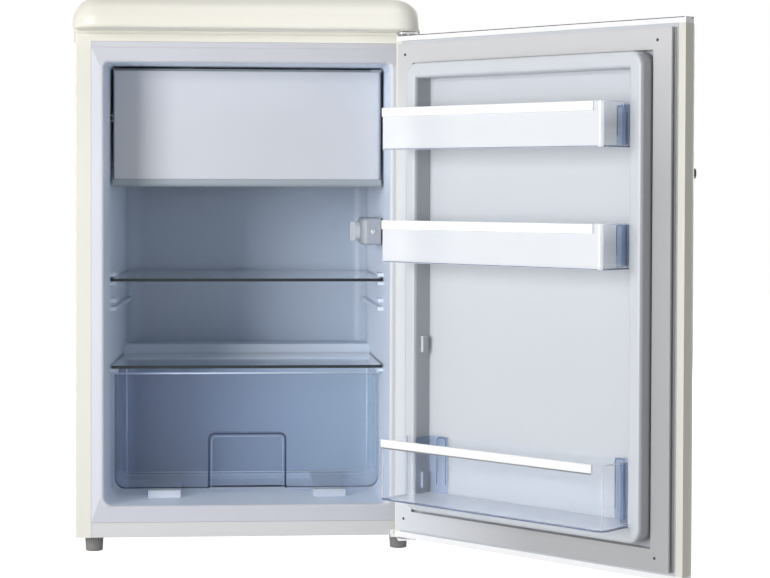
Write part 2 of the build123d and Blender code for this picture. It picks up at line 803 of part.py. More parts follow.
# Door skin: a formed sheet with narrow inner returns
with BuildPart() as door_skin:
    extrude(door_plan(Plane.XY.offset(skin_bottom), 0), amount=skin_top - skin_bottom)
    extrude(door_plan(Plane.XY.offset(skin_bottom), sheet), amount=skin_top - skin_bottom, mode=Mode.SUBTRACT)
    gap_half = door_half - skin_return
    block(both(gap_half), (rim_y - 2 * sheet, rim_y + overcut), (skin_bottom, skin_top), mode=Mode.SUBTRACT)
door_skin.part = door_skin.part.moved(door_swing)
door_skin.part.label = "door_skin"
export_step(door_skin.part, "parts/door_skin.step")

# End caps of the door, with a bore for the hinge bush
for name, cap_z in (("top", (skin_top, door_top)), ("bottom", (door_bottom, skin_bottom))):
    with BuildPart() as door_cap:
        extrude(door_plan(Plane.XY.offset(cap_z[0]), 0), amount=cap_height)
        upright(hinge_x, hinge_y, (cap_z[0] - overcut, cap_z[1] + overcut), bush_radius, mode=Mode.SUBTRACT)
    door_cap.part = door_cap.part.moved(door_swing)
    door_cap.part.label = f"door_{name}_cap"
    export_step(door_cap.part, f"parts/door_{name}_cap.step")

with BuildPart() as hinge_bushes:
    for cap_z in ((skin_top, door_top), (door_bottom, skin_bottom)):
        upright(hinge_x, hinge_y, cap_z, bush_radius)
        upright(hinge_x, hinge_y, cap_z, pin_radius + pin_clearance, mode=Mode.SUBTRACT)
hinge_bushes.part = hinge_bushes.part.moved(door_swing)
hinge_bushes.part.label = "hinge_bushes"
export_step(hinge_bushes.part, "parts/hinge_bushes.step")

# Door liner: a flat sheet with a raised hollow dyke that carries the balconies
dyke_half = door_half - dyke_inset
dyke_z = (floor_z + dyke_floor_gap, ceiling_z - dyke_ceiling_gap)
dyke_front = front + dyke_reach
dyke_inner = dyke_half - dyke_width
lug_y = (rim_y + lug_depth, rim_y + lug_depth + lug_width)
lug_bottoms = [floor_z + level + lug_rise - lug_height for level in balcony_levels]
lug_bottoms.append(floor_z + spare_lug_level + lug_rise - lug_height)
liner_half = door_half - skin_return - fit_gap
liner_back = rim_y - door_liner_wall
with BuildPart() as door_liner:
    sheet_z = (skin_bottom + fit_gap, skin_top - fit_gap)
    block(both(liner_half), (liner_back, rim_y), sheet_z)
    dyke_plane = Plane.XZ.offset(-rim_y + overcut)
    dyke = frame_plan(dyke_plane, dyke_half, dyke_z[0], dyke_z[1], dyke_width, dyke_corner)
    extrude(dyke, amount=-(dyke_front - rim_y + overcut))
    crest = door_liner.faces().sort_by(Axis.Y)[-1]
    fillet(crest.edges(), radius=dyke_edge)
    hollow_half = dyke_half - door_liner_wall
    hollow_width = dyke_width - 2 * door_liner_wall
    hollow_low = dyke_z[0] + door_liner_wall
    hollow_high = dyke_z[1] - door_liner_wall
    hollow_corner = dyke_corner - door_liner_wall
    groove = frame_plan(
        Plane.XZ.offset(-liner_back), hollow_half, hollow_low, hollow_high, hollow_width, hollow_corner
    )
    groove_depth = dyke_front - liner_back - door_liner_wall - dyke_edge / 2
    extrude(groove, amount=-groove_depth, mode=Mode.SUBTRACT)
    for side in (-1, 1):
        for level in lug_bottoms:
            lug_x = sorted((side * (dyke_inner + door_liner_wall / 2), side * (dyke_inner - lug_reach)))
            block(lug_x, lug_y, (level, level + lug_height))
door_liner.part = door_liner.part.moved(door_swing)
door_liner.part.label = "door_liner"
export_step(door_liner.part, "parts/door_liner.step")

# Door insulation between the skin and the liner
foam_inset = sheet + foam_gap
with BuildPart() as door_insulation:
    foam_z = (skin_bottom + foam_gap, skin_top - foam_gap)
    extrude(door_plan(Plane.XY.offset(foam_z[0]), foam_inset), amount=foam_z[1] - foam_z[0])
    cut_y = (liner_back - foam_gap, rim_y + overcut)
    block(both(cabinet_width), cut_y, (base, crown_top), mode=Mode.SUBTRACT)
door_insulation.part = door_insulation.part.moved(door_swing)
door_insulation.part.label = "door_insulation"
export_step(door_insulation.part, "parts/door_insulation.step")

# Door seal: a base, a narrower bellows and a flat head that meets the cabinet's flange
seal_half = door_half - seal_outer_inset
seal_z = (door_bottom + seal_outer_inset, door_top - seal_outer_inset)
seal_front = front - seal_play
seal_width = seal_half - dyke_half - seal_dyke_gap
neck_step = (seal_width - seal_neck) / 2
seal_steps = (
    (rim_y, rim_y + seal_base, 0),
    (rim_y + seal_base, seal_front - seal_head, neck_step),
    (seal_front - seal_head, seal_front, 0),
)
with BuildPart() as door_gasket:
    for near, far, step in seal_steps:
        ring_plane = Plane.XZ.offset(-near)
        ring_width = seal_width - 2 * step
        ring = frame_plan(ring_plane, seal_half - step, seal_z[0] + step, seal_z[1] - step, ring_width, 0)
        extrude(ring, amount=-(far - near))
door_gasket.part = door_gasket.part.moved(door_swing)
door_gasket.part.label = "door_gasket"
export_step(door_gasket.part, "parts/door_gasket.step")

# Door handle: a level bar on two posts, on the outer face near the free edge
handle_z = door_bottom + handle_level
handle_x = (-door_half + handle_end_inset, -door_half + handle_end_inset + handle_length)
bar_y = (door_face - handle_standoff - handle_thickness, door_face - handle_standoff)
post_inset = 1.6 * handle_post
with BuildPart() as door_handle:
    block(handle_x, bar_y, (handle_z - handle_rise / 2, handle_z + handle_rise / 2))
    fillet(door_handle.edges().filter_by(Axis.X), radius=0.42 * handle_thickness)
    for x in (handle_x[0] + post_inset, handle_x[1] - post_inset):
        middle_y = (bar_y[1] - handle_thickness / 2 + door_face - fit_gap) / 2
        with Locations((x, middle_y, handle_z)):
            post_length = door_face - fit_gap - bar_y[1] + handle_thickness / 2
            Cylinder(handle_post / 3, post_length, rotation=(90, 0, 0))
        with Locations((x, door_face - fit_gap - screw_rise, handle_z)):
            Cylinder(handle_post / 2, 2 * screw_rise, rotation=(90, 0, 0))
door_handle.part = door_handle.part.moved(door_swing)
door_handle.part.label = "door_handle"
export_step(door_handle.part, "parts/door_handle.step")

# Door balconies: clear trays that hang on the dyke's lugs, with a white front trim
tray_back = rim_y + 2 * fit_gap
shoulder_y = dyke_front + shoulder_gap
slot_half = dyke_inner - tray_side_gap
tray_front = front + balcony_front


def balcony_plan(plane, inset):
    """The tray's plan: narrow between the dykes, wider in front of them."""
    with BuildSketch(plane) as plan:
        with BuildLine():
            Polyline(
                (-slot_half, tray_back),
                (-slot_half, shoulder_y),
                (-balcony_free_end, shoulder_y + shoulder_length),
                (-balcony_free_end, tray_front),
                (balcony_hinge_end, tray_front),
                (balcony_hinge_end, shoulder_y + shoulder_length),
                (slot_half, shoulder_y),
                (slot_half, tray_back),
                close=True,
            )
        make_face()
        fillet(plan.vertices().sort_by(Axis.Y)[-2:].sort_by(Axis.X)[0], radius=balcony_corner)
        fillet(plan.vertices().sort_by(Axis.X)[-2:].sort_by(Axis.Y)[-1], radius=balcony_hinge_corner)
        if inset:
            offset(amount=-inset, mode=Mode.REPLACE)
    return plan.sketch


for name, level, height, trim_height in zip(balcony_names, balcony_levels, balcony_heights, balcony_trims):
    tray_z = floor_z + level
    lug_top = tray_z + lug_rise
    with BuildPart() as balcony:
        extrude(balcony_plan(Plane.XY.offset(tray_z), 0), amount=height)
        room = balcony_plan(Plane.XY.offset(tray_z + balcony_floor), balcony_wall)
        extrude(room, amount=height, mode=Mode.SUBTRACT)
        for side in (-1, 1):
            notch_x = sorted((side * (dyke_inner - lug_reach - fit_gap), side * cabinet_width))
            notch_y = (lug_y[0] - fit_gap, lug_y[1] + fit_gap)
            block(notch_x, notch_y, (tray_z - overcut, lug_top + fit_gap), mode=Mode.SUBTRACT)
    balcony.part = balcony.part.moved(door_swing)
    balcony.part.label = f"balcony_{name}"
    export_step(balcony.part, f"parts/balcony_{name}.step")
    with BuildPart() as balcony_trim:
        trim_x = (-balcony_free_end + trim_short, balcony_hinge_end - trim_hinge_inset)
        trim_z = (tray_z + height - trim_height, tray_z + height)
        block(trim_x, (tray_front, tray_front + trim_thickness), trim_z)
        fillet(balcony_trim.edges().filter_by(Axis.X).group_by(Axis.Y)[-1], radius=trim_thickness / 2)
    balcony_trim.part = balcony_trim.part.moved(door_swing)
    balcony_trim.part.label = f"balcony_trim_{name}"
    export_step(balcony_trim.part, f"parts/balcony_trim_{name}.step")

# Compressor on four rubber mounts
compressor_y = back - compressor_back_gap
shell_z = floor_sheet_top + mount_height
mount_x = compressor_length / 2 + mount_radius
mount_y = compressor_breadth / 4
plate_half = mount_x + mount_radius
with BuildPart() as compressor:
    with BuildSketch(Plane.XY.offset(shell_z)) as shell_plan:
        with Locations((compressor_x, compressor_y)):
            Ellipse(compressor_length / 2, compressor_breadth / 2)
    extrude(amount=compressor_height)
    fillet(compressor.faces().sort_by(Axis.Z)[-1].edges(), radius=compressor_round)
    plate_x = (compressor_x - plate_half, compressor_x + plate_half)
    plate_y = (compressor_y - mount_y - mount_radius, compressor_y + mount_y + mount_radius)
    block(plate_x, plate_y, (shell_z, shell_z + mount_plate))
    with BuildSketch(Plane.XY.offset(shell_z + compressor_height / 2)) as seam_plan:
        with Locations((compressor_x, compressor_y)):
            Ellipse(compressor_length / 2 + mount_plate, compressor_breadth / 2 + mount_plate)
    extrude(amount=mount_plate)
compressor.part.label = "compressor"
export_step(compressor.part, "parts/compressor.step")

with BuildPart() as compressor_mounts:
    for x in (compressor_x - mount_x, compressor_x + mount_x):
        for y in (compressor_y - mount_y, compressor_y + mount_y):
            upright(x, y, (floor_sheet_top, shell_z), mount_radius)
compressor_mounts.part.label = "compressor_mounts"
export_step(compressor_mounts.part, "parts/compressor_mounts.step")

# Terminal box on the compressor's end, with the gland for the mains lead
terminal_x = compressor_x + compressor_length / 2 + fit_gap
terminal_y = (compressor_y - terminal_depth / 2, compressor_y + terminal_depth / 2)
terminal_z = (shell_z + 2 * mount_plate, shell_z + 2 * mount_plate + terminal_height)
with BuildPart() as terminal_box:
    block((terminal_x, terminal_x + terminal_width), terminal_y, terminal_z)
    fillet(terminal_box.edges().filter_by(Axis.Y), radius=mount_plate)
terminal_box.part.label = "terminal_box"
export_step(terminal_box.part, "parts/terminal_box.step")

with BuildPart() as cord_gland:
    gland_z = (terminal_z[0] + terminal_z[1]) / 2
    with Locations((terminal_x + terminal_width / 2, terminal_y[1] + gland_length / 2, gland_z)):
        Cylinder(gland_radius, gland_length, rotation=(90, 0, 0))
        Cylinder(cord_hole_radius, gland_length, rotation=(90, 0, 0), mode=Mode.SUBTRACT)
cord_gland.part.label = "cord_gland"
export_step(cord_gland.part, "parts/cord_gland.step")

# Evaporation tray on top of the compressor
tray_z = shell_z + compressor_height + fit_gap
with BuildPart() as evaporation_tray:
    tray_x = (compressor_x - tray_length / 2, compressor_x + tray_length / 2)
    tray_y = (compressor_y - tray_breadth / 2, compressor_y + tray_breadth / 2)
    block(tray_x, tray_y, (tray_z, tray_z + tray_height))
    fillet(evaporation_tray.edges().filter_by(Axis.Z), radius=5 * tray_wall)
    offset(amount=-tray_wall, openings=evaporation_tray.faces().sort_by(Axis.Z)[-1])
evaporation_tray.part.label = "evaporation_tray"
export_step(evaporation_tray.part, "parts/evaporation_tray.step")

# Condenser: one tube in level runs up the back, from the compressor to the filter drier
tube_y = back + tube_off
tube_low = bay_top + tube_pitch
discharge_z = shell_z + compressor_height / 4
drier_x = tube_drop_x
drier_top = bay_top - tube_pitch / 2
compressor_end = compressor_x - compressor_length / 2 - fit_gap
tube_points = [
    (compressor_end, compressor_y, discharge_z),
    (-tube_drop_x, compressor_y, discharge_z),
    (-tube_drop_x, tube_y, discharge_z),
    (-tube_drop_x, tube_y, tube_low),
]
for run in range(tube_runs):
    level = tube_low + run * tube_pitch
    ends = (-tube_half, tube_half) if run % 2 == 0 else (tube_half, -tube_half)
    if run > 0:
        tube_points.append((ends[0], tube_y, level))
    tube_points.append((ends[1], tube_y, level))
tube_top = tube_low + tube_runs * tube_pitch
tube_points += [
    (-tube_half, tube_y, tube_top),
    (drier_x, tube_y, tube_top),
    (drier_x, tube_y, drier_top),
]
bend_radius = 0.49 * tube_pitch
with BuildPart() as condenser_tube:
    with BuildLine() as tube_path:
        FilletPolyline(*tube_points, radius=bend_radius)
    with BuildSketch(Plane(origin=tube_points[0], z_dir=(-1, 0, 0))) as tube_section:
        Circle(tube_radius)
    sweep()
condenser_tube.part.label = "condenser_tube"
export_step(condenser_tube.part, "parts/condenser_tube.step")

wire_y = tube_y + tube_radius + wire_radius + fit_gap
wire_low = tube_low - wire_margin
wire_high = tube_top + wire_margin
wire_pitch = 2 * (tube_half - 2 * wire_margin) / (wire_count - 1)
strap_half = tube_drop_x - tube_radius - strap_clearance
strap_levels = (tube_low + tube_pitch / 2, tube_top - tube_pitch / 2)
with BuildPart() as condenser_wires:
    for count in range(wire_count):
        x = -tube_half + 2 * wire_margin + count * wire_pitch
        upright(x, wire_y, (wire_low, wire_high), wire_radius)
    for level in strap_levels:
        strap_y = (wire_y, wire_y + wire_radius + strap_thickness)
        block(both(strap_half), strap_y, (level - strap_height / 2, level + strap_height / 2))
condenser_wires.part.label = "condenser_wires"
export_step(condenser_wires.part, "parts/condenser_wires.step")

with BuildPart() as condenser_brackets:
    bracket_x = strap_half - 2 * bracket_half
    for x in (-bracket_x, bracket_x):
        for level in strap_levels:
            block(
                (x - bracket_half, x + bracket_half),
                (back, wire_y),
                (level - 2 * bracket_half, level + 2 * bracket_half),
            )
condenser_brackets.part.label = "condenser_brackets"
export_step(condenser_brackets.part, "parts/condenser_brackets.step")

with BuildPart() as filter_drier:
    drier_z = (drier_top - drier_length, drier_top)
    upright(drier_x, tube_y, drier_z, drier_radius)
    fillet(filter_drier.edges().filter_by(GeomType.CIRCLE), radius=drier_radius / 2)
filter_drier.part.label = "filter_drier"
export_step(filter_drier.part, "parts/filter_drier.step")

# Suction pipe from the evaporator's outlet in the bay's front wall back to the compressor
suction_z = shell_z + suction_level
suction_x = compressor_x - compressor_length
suction_points = [
    (suction_x, bay_y + fit_gap, suction_z),
    (suction_x, compressor_y, suction_z),
    (compressor_end, compressor_y, suction_z),
]
with BuildPart() as suction_pipe:
    with BuildLine() as suction_path:
        FilletPolyline(*suction_points, radius=bend_radius)
    with BuildSketch(Plane(origin=suction_points[0], z_dir=(0, 1, 0))) as suction_section:
        Circle(suction_radius)
    sweep()
suction_pipe.part.label = "suction_pipe"
export_step(suction_pipe.part, "parts/suction_pipe.step")

# Screws around the back panel
with BuildPart() as back_screws:
    screw_x = panel_half - 2 * screw_head
    top_screw = header_top - skirt_drop - 2 * screw_head
    screw_levels = (tube_low - tube_pitch / 2, (tube_low + tube_top) / 2, top_screw)
    for x in (-screw_x, screw_x):
        for level in screw_levels:
            with Locations((x, back + screw_rise / 2, level)):
                Cylinder(screw_head, screw_rise, rotation=(90, 0, 0))
back_screws.part.label = "back_screws"
export_step(back_screws.part, "parts/back_screws.step")
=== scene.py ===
import json
import math

import bmesh
import bpy
from mathutils import Matrix, Vector


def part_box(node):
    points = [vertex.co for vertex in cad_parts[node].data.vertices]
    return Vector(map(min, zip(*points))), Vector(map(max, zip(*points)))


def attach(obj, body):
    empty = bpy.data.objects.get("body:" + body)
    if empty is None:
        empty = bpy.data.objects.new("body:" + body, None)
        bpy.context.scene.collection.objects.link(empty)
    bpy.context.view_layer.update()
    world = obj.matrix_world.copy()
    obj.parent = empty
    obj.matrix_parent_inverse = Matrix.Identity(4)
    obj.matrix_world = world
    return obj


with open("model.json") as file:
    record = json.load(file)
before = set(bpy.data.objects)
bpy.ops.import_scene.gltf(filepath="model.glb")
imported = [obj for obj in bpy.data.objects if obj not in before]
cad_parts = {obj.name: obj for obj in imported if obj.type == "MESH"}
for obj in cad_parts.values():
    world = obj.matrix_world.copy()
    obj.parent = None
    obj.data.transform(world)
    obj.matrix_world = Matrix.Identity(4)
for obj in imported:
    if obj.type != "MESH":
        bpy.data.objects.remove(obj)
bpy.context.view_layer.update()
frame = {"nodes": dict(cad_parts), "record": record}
nodes = frame["nodes"]

# Sizes of the object, in metres, that the added pieces are built to
front = -0.239
hinge = Vector((0.2577, front - 0.0259, 0))
door_angle = math.radians(133.66)
door_swing = (
    Matrix.Translation(hinge) @ Matrix.Rotation(door_angle, 4, "Z") @ Matrix.Translation(-hinge)
)


# Materials
def shader(name):
    """A new material with its principled shader, ready for links."""
    mat = bpy.data.materials.new(name)
    mat.use_nodes = True
    tree = mat.node_tree
    return mat, tree, tree.nodes["Principled BSDF"]


def noise(tree, scale, detail=3.0, rough=0.55):
    """A noise field in object space."""
    coords = tree.nodes.new("ShaderNodeTexCoord")
    field = tree.nodes.new("ShaderNodeTexNoise")
    field.inputs["Scale"].default_value = scale
    field.inputs["Detail"].default_value = detail
    field.inputs["Roughness"].default_value = rough
    tree.links.new(coords.outputs["Object"], field.inputs["Vector"])
    return field.outputs["Fac"]


def spread(tree, field, low, high, start=0.3, stop=0.7):
    """Maps a noise field on to a range of values."""
    remap = tree.nodes.new("ShaderNodeMapRange")
    remap.inputs["From Min"].default_value = start
    remap.inputs["From Max"].default_value = stop
    remap.inputs["To Min"].default_value = low
    remap.inputs["To Max"].default_value = high
    tree.links.new(field, remap.inputs["Value"])
    return remap.outputs["Result"]


def tint(tree, field, dark, light, start=0.3, stop=0.7):
    """Runs a noise field between two colours."""
    ramp = tree.nodes.new("ShaderNodeValToRGB")
    ramp.color_ramp.elements[0].position = start
    ramp.color_ramp.elements[0].color = (*dark, 1)
    ramp.color_ramp.elements[1].position = stop
    ramp.color_ramp.elements[1].color = (*light, 1)
    tree.links.new(field, ramp.inputs["Fac"])
    return ramp.outputs["Color"]


def relief(tree, bsdf, field, strength, distance=0.001):
    """A bump from a noise field."""
    bump = tree.nodes.new("ShaderNodeBump")
    bump.inputs["Strength"].default_value = strength
    bump.inputs["Distance"].default_value = distance
    tree.links.new(field, bump.inputs["Height"])
    tree.links.new(bump.outputs["Normal"], bsdf.inputs["Normal"])


def any_of(tree, *flags):
    """One where any of the flags is one."""
    result = flags[0]
    for flag in flags[1:]:
        highest = tree.nodes.new("ShaderNodeMath")
        highest.operation = "MAXIMUM"
        tree.links.new(result, highest.inputs[0])
        tree.links.new(flag, highest.inputs[1])
        result = highest.outputs[0]
    return result


def surface(
    name, colour, rough, grain=600, grain_depth=0.05, vary=0.02, coat=0.0, metal=0.0, patch=9, gloss=0.35
):
    """A solid finish: slight patches of colour, uneven gloss and a fine grain."""
    mat, tree, bsdf = shader(name)
    dark = tuple(c * (1 - vary) for c in colour)
    light = tuple(min(1, c * (1 + vary)) for c in colour)
    broad = noise(tree, patch)
    tree.links.new(tint(tree, broad, dark, light), bsdf.inputs["Base Color"])
    uneven = spread(tree, noise(tree, patch, 0.0), rough * 0.93, rough * 1.07)
    tree.links.new(uneven, bsdf.inputs["Roughness"])
    relief(tree, bsdf, noise(tree, grain, 2.0), grain_depth, 0.0004)
    bsdf.inputs["Metallic"].default_value = metal
    bsdf.inputs["Coat Weight"].default_value = coat
    bsdf.inputs["Coat Roughness"].default_value = 0.06
    bsdf.inputs["Specular IOR Level"].default_value = gloss
    return mat


def fade(tree, near, far, start, stop, axis="X"):
    """Runs between two colours along an axis, in object space."""
    coords = tree.nodes.new("ShaderNodeTexCoord")
    split = tree.nodes.new("ShaderNodeSeparateXYZ")
    tree.links.new(coords.outputs["Object"], split.inputs["Vector"])
    return tint(tree, spread(tree, split.outputs[axis], 0, 1, start, stop), near, far, 0, 1)


def grade(mat, near, far, start, stop, axis="X"):
    """Gives a finish a colour that runs between two tones along an axis."""
    tree = mat.node_tree
    colour = fade(tree, near, far, start, stop, axis)
    tree.links.new(colour, tree.nodes["Principled BSDF"].inputs["Base Color"])


def thin(mat, alpha):
    """Makes a finish partly see-through."""
    mat.node_tree.nodes["Principled BSDF"].inputs["Alpha"].default_value = alpha


def clear(name, colour, rough, ior, shade, far=None, haze=0.0):
    """A see-through finish that passes most light, may fade to a second colour and may be hazy."""
    mat, tree, bsdf = shader(name)
    bsdf.inputs["Base Color"].default_value = (*colour, 1)
    if far:
        tree.links.new(fade(tree, colour, far, -0.2, 0.2), bsdf.inputs["Base Color"])
    bsdf.inputs["Transmission Weight"].default_value = 1 - haze
    bsdf.inputs["IOR"].default_value = ior
    bsdf.inputs["Coat Weight"].default_value = 0.25
    bsdf.inputs["Coat Roughness"].default_value = 0.05
    tree.links.new(spread(tree, noise(tree, 14), rough * 0.6, rough * 1.4), bsdf.inputs["Roughness"])
    relief(tree, bsdf, noise(tree, 12, 1.0), 0.02, 0.0004)
    path = tree.nodes.new("ShaderNodeLightPath")
    pass_light = tree.nodes.new("ShaderNodeMapRange")
    pass_light.inputs["To Min"].default_value = 1.0
    pass_light.inputs["To Max"].default_value = shade
    indirect = any_of(tree, path.outputs["Is Shadow Ray"], path.outputs["Is Diffuse Ray"])
    tree.links.new(indirect, pass_light.inputs["Value"])
    tree.links.new(pass_light.outputs["Result"], bsdf.inputs["Alpha"])
    return mat


def zinc(name, colour):
    """Zinc-coated sheet with its crystal pattern."""
    mat, tree, bsdf = shader(name)
    coords = tree.nodes.new("ShaderNodeTexCoord")
    cells = tree.nodes.new("ShaderNodeTexVoronoi")
    cells.inputs["Scale"].default_value = 90
    tree.links.new(coords.outputs["Object"], cells.inputs["Vector"])
    grey = tree.nodes.new("ShaderNodeRGBToBW")
    tree.links.new(cells.outputs["Color"], grey.inputs["Color"])
    dark = tuple(c * 0.86 for c in colour)
    tree.links.new(tint(tree, grey.outputs["Val"], dark, colour, 0.2, 0.9), bsdf.inputs["Base Color"])
    tree.links.new(spread(tree, grey.outputs["Val"], 0.34, 0.52, 0.2, 0.9), bsdf.inputs["Roughness"])
    relief(tree, bsdf, noise(tree, 250, 3.0), 0.06, 0.0004)
    bsdf.inputs["Metallic"].default_value = 0.85
    return mat


cream = (0.73, 0.718, 0.645)
white = (0.66, 0.68, 0.745)
finishes = {
    "body_paint": surface("cream_enamel", cream, 0.32, 420, 0.02, 0.003),
    "crown_plastic": surface("cream_crown", (0.81, 0.795, 0.715), 0.3, 420, 0.02, 0.003),
    "liner_plastic": surface("white_liner", white, 0.38, 520, 0.07, 0.006),
    "white_trim": surface("white_trim", (0.87, 0.876, 0.882), 0.3, 520, 0.05, 0.006),
    "flap_plastic": surface("flap_plastic", (0.59, 0.61, 0.658), 0.34, 300, 0.05, 0.006),
    "clear_plastic": clear("clear_plastic", (0.972, 0.98, 0.992), 0.02, 1.05, 0.1),
    "shelf_glass": clear("shelf_glass", (0.9, 0.95, 0.95), 0.006, 1.5, 0.15),
    "seal_rubber": surface("seal_rubber", (0.48, 0.485, 0.495), 0.55, 700, 0.12, 0.02),
    "foot_plastic": surface("foot_plastic", (0.2, 0.195, 0.188), 0.55, 700, 0.15, 0.08),
    "black_plastic": surface("black_plastic", (0.035, 0.035, 0.038), 0.5, 800, 0.15, 0.1),
    "mount_rubber": surface("mount_rubber", (0.025, 0.025, 0.026), 0.7, 900, 0.2, 0.12),
    "zinc_sheet": zinc("zinc_sheet", (0.5, 0.51, 0.52)),
    "hinge_steel": surface("hinge_steel", (0.66, 0.66, 0.65), 0.33, 500, 0.08, 0.05, metal=1.0),
    "screw_steel": surface("screw_steel", (0.62, 0.62, 0.61), 0.3, 900, 0.08, 0.06, metal=1.0),
    "machine_black": surface("machine_black", (0.02, 0.02, 0.022), 0.36, 260, 0.1, 0.15, coat=0.3),
    "tube_black": surface("tube_black", (0.03, 0.03, 0.032), 0.45, 500, 0.12, 0.12),
    "copper": surface("copper", (0.78, 0.4, 0.26), 0.3, 500, 0.08, 0.1, metal=1.0),
    "evaporator": surface("evaporator", (0.72, 0.75, 0.79), 0.42, 160, 0.2, 0.02),
    "handle_chrome": surface("handle_chrome", (0.8, 0.8, 0.81), 0.07, 40, 0.01, 0.02, metal=1.0),
    "bush_plastic": surface("bush_plastic", (0.55, 0.2, 0.17), 0.45, 800, 0.1, 0.04),
    "foam": surface("foam", (0.8, 0.72, 0.5), 0.85, 350, 0.4, 0.06),
}

# Finishes of single pieces and of some of their faces
door_inside = surface("door_inside", (0.585, 0.61, 0.65), 0.36, 520, 0.03, 0.006)
# Painted shade: the walls inside the liner run lighter near the front and darker towards the back
liner_inside = surface("liner_inside", (0.54, 0.6, 0.69), 0.4, 520, 0.03, 0.006)
grade(liner_inside, (0.7, 0.775, 0.895), (0.5, 0.575, 0.69), 0.12, 0.2, "Y")
# Painted shade: the liner's flange above and below the opening is darker than the rest of the flange
flange_painted_shade = surface("flange_painted_shade", (0.55, 0.56, 0.615), 0.38, 520, 0.05, 0.006)
# Painted light and shade: the crown and the top rail run darker at the left end and lighter at the right
grade(finishes["crown_plastic"], (0.71, 0.695, 0.62), (0.9, 0.885, 0.805), -0.27, 0.25)
dyke_shade = surface("dyke_shade", (0.4, 0.416, 0.444), 0.4, 520, 0.03, 0.006)
# Painted shade: the white control housing and its knob are given darker grey-blue copies of white plastic
control_plastic = surface("control_plastic", (0.36, 0.38, 0.43), 0.36, 600, 0.06, 0.01)
knob_plastic = surface("knob_plastic", (0.54, 0.57, 0.62), 0.36, 600, 0.06, 0.01)
# The bottom rail is a light grey strip, made darker still as painted shade for the dimmer light low down
rail_plastic = surface("rail_plastic", (0.61, 0.62, 0.63), 0.36, 520, 0.06, 0.008)
# Painted light: the drawer's front runs darker at the left and lighter to the right
drawer_plastic = clear("drawer_plastic", (0.468, 0.53, 0.647), 0.02, 1.06, 0.25, (0.69, 0.75, 0.81), 0.05)
balcony_plastic = clear("balcony_plastic", (0.9, 0.925, 0.965), 0.02, 1.06, 0.15, haze=0.03)
door_enamel = surface("door_enamel", (0.72, 0.71, 0.64), 0.5, 420, 0.05, 0.006, gloss=0.12)
# Painted shade: dark lines that stand in for the dark look of the clear plastic's edges
tray_line = surface("tray_line", (0.14, 0.18, 0.3), 0.25, 500, 0.04, 0.05)
# Painted highlight: pale lines that stand in for the light along the clear plastic's edges
highlight_line = surface("highlight_line", (0.76, 0.82, 0.91), 0.25, 500, 0.04, 0.03)
grip_line = surface("grip_line", (0.3, 0.38, 0.52), 0.25, 500, 0.04, 0.03)
# Painted shade: the white freezer frame is given a dark grey-blue for the shade on its lip
freezer_trim = surface("freezer_trim", (0.33, 0.37, 0.41), 0.38, 520, 0.07, 0.01)
# Painted shade: a near-black finish for the dark look that refraction gives the edges of glass panes, over
# the glass's own green tint
pane_edge = surface("pane_edge", (0.012, 0.02, 0.024), 0.16, 300, 0.03, 0.15)
navy_edge = surface("navy_edge", (0.03, 0.045, 0.1), 0.22, 400, 0.05, 0.12)
milky = surface("milky_plastic", (0.9, 0.925, 0.96), 0.2, 400, 0.04, 0.008)
thin(milky, 0.6)
hook_plastic = clear("hook_plastic", (0.68, 0.76, 0.9), 0.05, 1.12, 0.3)
tray_floor = surface("tray_floor", (0.8, 0.855, 0.96), 0.22, 400, 0.04, 0.01)
thin(tray_floor, 0.65)
rail_pad = surface("rail_pad", (0.54, 0.595, 0.685), 0.42, 520, 0.05, 0.01)
# Painted shadow: the dark line under the lowest balcony's trim
trim_shadow = surface("trim_shadow", (0.26, 0.27, 0.29), 0.4, 500, 0.05, 0.04)
# Painted shade: the grooves round the front feet are darker than the feet
foot_groove = surface("foot_groove", (0.06, 0.058, 0.055), 0.6, 700, 0.15, 0.08)

# Painted light and shade on the seal: low down it runs lighter towards the hinge and darker towards the free
# edge, and it evens out to one tone towards the top
seal_tree = finishes["seal_rubber"].node_tree
seal_shade = seal_tree.nodes.new("ShaderNodeMix")
seal_shade.data_type = "RGBA"
seal_across = fade(seal_tree, (0.7, 0.72, 0.765), (0.4, 0.403, 0.41), 0.22, 0.42)
seal_up = fade(seal_tree, (0, 0, 0), (1, 1, 1), 0.6, 0.8, "Z")
seal_tree.links.new(seal_up, seal_shade.inputs["Factor"])
seal_tree.links.new(seal_across, seal_shade.inputs["A"])
seal_shade.inputs["B"].default_value = (0.56, 0.562, 0.57, 1)
seal_tree.links.new(seal_shade.outputs["Result"], seal_tree.nodes["Principled BSDF"].inputs["Base Color"])

dark_mark = surface("dark_mark", (0.03, 0.03, 0.035), 0.6, 700, 0.1, 0.1)

# Painted light: the drawer's front is painted lighter in a band at each end, where its side walls stand
# behind it
band_left, band_right = (0.555, 0.63, 0.765), (0.72, 0.785, 0.845)
band_share = 0.025
drawer_nodes = drawer_plastic.node_tree.nodes
drawer_ramp = next(node for node in drawer_nodes if node.bl_idname == "ShaderNodeValToRGB").color_ramp
for place in (band_share, 1 - band_share):
    drawer_ramp.elements.new(place)
drawer_ramp.elements[0].color = (*band_left, 1)
drawer_ramp.elements[-1].color = (*band_right, 1)

own_finish = {
    "door_liner": door_inside,
    "freezer_frame": freezer_trim,
    "control_housing": control_plastic,
    "thermostat_knob": knob_plastic,
    "bottom_rail": rail_plastic,
    "top_rail": finishes["crown_plastic"],
    "crisper_drawer": drawer_plastic,
    "door_skin": door_enamel,
}
for entry in frame["record"]["subparts"]:
    name = entry["node"]
    node = nodes[name]
    node.data.materials.clear()
    node.data.materials.append(own_finish.get(name, finishes[entry["material_slot"]]))


def part_faces(node, second, chosen):
    """Gives the chosen faces of a piece a further finish."""
    node.data.materials.append(second)
    for face in node.data.polygons:
        if chosen(face):
            face.material_index = len(node.data.materials) - 1


